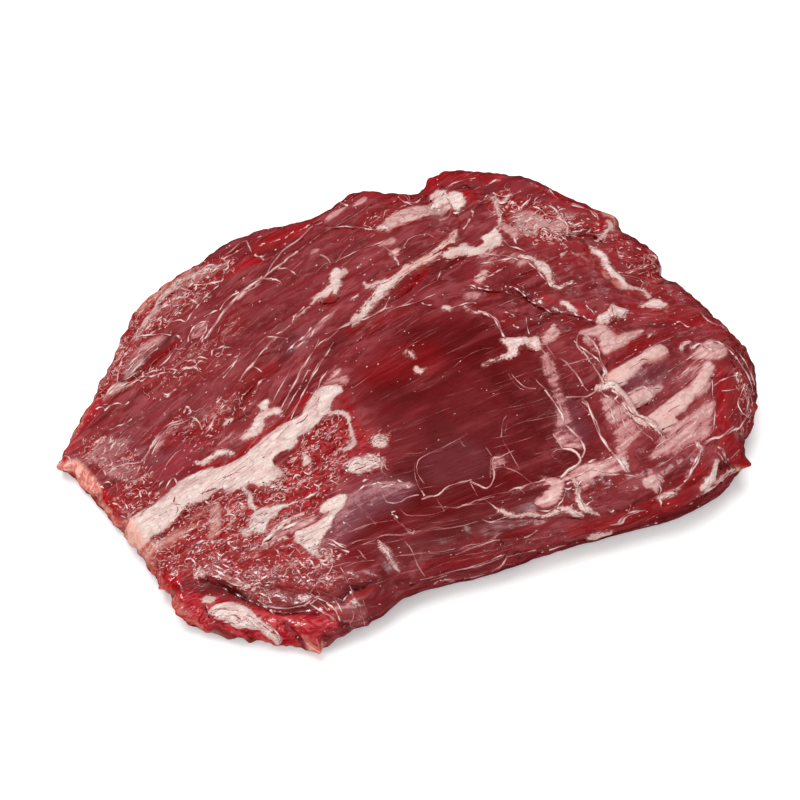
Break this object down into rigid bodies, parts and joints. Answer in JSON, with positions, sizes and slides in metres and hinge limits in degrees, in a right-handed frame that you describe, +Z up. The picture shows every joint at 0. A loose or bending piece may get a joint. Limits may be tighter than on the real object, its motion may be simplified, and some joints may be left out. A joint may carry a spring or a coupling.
{
  "type": "beef flank",
  "caption": "Raw beef flank: a broad, flat muscle with a band of fat, thin white films, a knife-cut end, rounded sides and folded edges, lying flat on its underside.",
  "frame": {"origin": "under the middle of the piece, on the flat face that it rests on", "axes": "+X along the longest side, from the knife-cut left end to the right; +Y to the back; +Z up out of the broad upper face"},
  "size_m": [0.3116, 0.2716, 0.0363],
  "materials": {
    "meat": "wet"
  },
  "bodies": {
    "root": {"beef_flank": "meat"}
  },
  "joints": []
}
